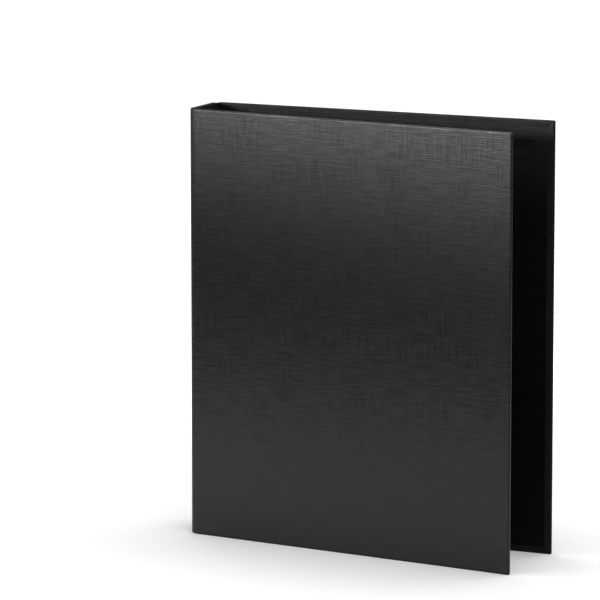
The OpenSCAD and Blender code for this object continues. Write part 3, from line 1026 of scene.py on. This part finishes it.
nickel = {
    "dark": (0.60, 0.59, 0.57),
    "light": (0.76, 0.75, 0.74),
    "roughness": (0.14, 0.27),
    "marks": 0.004 * mm,
}
zinc = {
    "dark": (0.34, 0.35, 0.36),
    "light": (0.52, 0.53, 0.55),
    "roughness": (0.32, 0.46),
    "marks": 0.008 * mm,
}
finishes = {
    "covering": linenFinish("embossed_linen", linen["gloss"]),
    "back_covering": linenFinish("embossed_linen_dulled_for_shade", linen["backGloss"]),
    "lining": liningFinish(),
    "board": boardFinish(),
    "plated_steel": platedFinish("bright_nickel", nickel),
    "blade_steel": platedFinish("zinc_plate", zinc),
}


def putFinish(piece, finish):
    piece.data.materials.clear()
    piece.data.materials.append(finish)


for layer, pieces in sheets.items():
    for piece in pieces:
        putFinish(piece, finishes[layer])
# painted shade: the duller copy of the linen goes on the back covering
putFinish(bpy.data.objects["back_covering_sheet"], finishes["back_covering"])
for piece in plated:
    putFinish(piece, finishes["plated_steel"])
for subpart in frame["record"]["subparts"]:
    putFinish(frame["nodes"][subpart["node"]], finishes[subpart["material_slot"]])
print("finishes:", sorted(finishes))


# Camera, light and floor

camera = {
    "target": (-0.0480, 0.0, 0.1788),
    "distance": 3.307,
    "azimuth": 24.67,
    "elevation": 9.328,
    "lens": 274.0,
    "sensor": 36,
    "clip": (0.05, 60),
}


def makeCamera():
    data = bpy.data.cameras.new("camera")
    data.lens = camera["lens"]
    data.sensor_width = camera["sensor"]
    data.clip_start, data.clip_end = camera["clip"]
    eye = bpy.data.objects.new("camera", data)
    azimuth = math.radians(camera["azimuth"])
    elevation = math.radians(camera["elevation"])
    level = math.cos(elevation)
    back = Vector((math.sin(azimuth) * level, -math.cos(azimuth) * level, math.sin(elevation)))
    eye.location = Vector(camera["target"]) + back * camera["distance"]
    eye.rotation_mode = "QUATERNION"
    eye.rotation_quaternion = (-back).to_track_quat("-Z", "Y")
    bpy.context.scene.collection.objects.link(eye)
    bpy.context.scene.camera = eye


# Softboxes: where each stands, what it faces, its width and height, its power, the angle its light spreads
# over, and its colour. The two strips draw the glow at the top of the front cover and the one at its foot.
lights = {
    "overhead": {
        "at": (0.0, 0.0, 1.5), "to": (0.0, 0.0, 0.0), "size": (1.3, 1.3),
        "power": 39, "spread": 180, "tint": (1, 1, 1),
    },
    "softbox_back": {
        "at": (0.5, 1.4, 0.95), "to": (0.0, 0.0, 0.15), "size": (1.3, 0.8),
        "power": 2, "spread": 180, "tint": (1, 1, 1),
    },
    "strip_high": {
        "at": (-0.66, -0.86, 0.47), "to": (-0.04, -0.04, 0.40), "size": (0.6, 0.1),
        "power": 0.74, "spread": 20, "tint": (1, 1, 0.94),
    },
    "strip_low": {
        "at": (-0.74, -0.80, 0.04), "to": (-0.05, -0.04, 0.03), "size": (0.7, 0.06),
        "power": 0.042, "spread": 14, "tint": (1, 1, 0.90),
    },
}


def makeLights():
    for name, light in lights.items():
        data = bpy.data.lights.new(name, "AREA")
        data.shape = "RECTANGLE"
        data.size, data.size_y = light["size"]
        data.energy = light["power"]
        data.spread = math.radians(light["spread"])
        data.color = light["tint"]
        lamp = bpy.data.objects.new(name, data)
        lamp.location = light["at"]
        lamp.visible_camera = False
        aim = Vector(light["to"]) - Vector(light["at"])
        lamp.rotation_mode = "QUATERNION"
        lamp.rotation_quaternion = aim.to_track_quat("-Z", "Y")
        bpy.context.scene.collection.objects.link(lamp)


studio = {
    "floorSize": 14.0,
    "floorColour": (0.82, 0.82, 0.82),
    "floorRoughness": 0.7,
    "floorSpecular": 0.2,
    "fadeStart": 0.30,
    "fadeEnd": 0.75,
    "roomLight": 0.04,
}


# White to the eye and dim to the object, as a pale room behind soft lights
def makeStudio():
    scene = bpy.context.scene
    scene.view_settings.view_transform = "Standard"
    world = bpy.data.worlds.new("studio")
    scene.world = world
    world.use_nodes = True
    tree = world.node_tree
    tree.nodes.clear()
    path = tree.nodes.new("ShaderNodeLightPath")
    eye = tree.nodes.new("ShaderNodeBackground")
    room = tree.nodes.new("ShaderNodeBackground")
    mix = tree.nodes.new("ShaderNodeMixShader")
    out = tree.nodes.new("ShaderNodeOutputWorld")
    eye.inputs["Strength"].default_value = 1.0
    eye.inputs["Color"].default_value = (1, 1, 1, 1)
    room.inputs["Color"].default_value = (1, 1, 1, 1)
    room.inputs["Strength"].default_value = studio["roomLight"]
    tree.links.new(path.outputs["Is Camera Ray"], mix.inputs["Fac"])
    tree.links.new(room.outputs[0], mix.inputs[1])
    tree.links.new(eye.outputs[0], mix.inputs[2])
    tree.links.new(mix.outputs[0], out.inputs["Surface"])

    half = studio["floorSize"] / 2
    mesh = bpy.data.meshes.new("floor")
    corners = [(-half, -half, 0), (half, -half, 0), (half, half, 0), (-half, half, 0)]
    mesh.from_pydata(corners, [], [(0, 1, 2, 3)])
    floor = bpy.data.objects.new("floor", mesh)
    scene.collection.objects.link(floor)
    rough, specular = studio["floorRoughness"], studio["floorSpecular"]
    finish, shader = newFinish("pale_floor", studio["floorColour"], rough, specular=specular)
    place = addNode(finish, "ShaderNodeTexCoord").outputs["Object"]
    away = addNode(finish, "ShaderNodeVectorMath", operation="LENGTH")
    join(finish, place, away.inputs[0])
    fade = remap(finish, away.outputs["Value"], studio["fadeStart"], studio["fadeEnd"], 0, 1)
    seen = addNode(finish, "ShaderNodeLightPath").outputs["Is Camera Ray"]
    shader.inputs["Emission Color"].default_value = (1, 1, 1, 1)
    join(finish, calculate(finish, "MULTIPLY", fade, seen), shader.inputs["Emission Strength"])
    putFinish(floor, finish)


makeCamera()
makeLights()
makeStudio()
print("studio: camera, lights and floor")
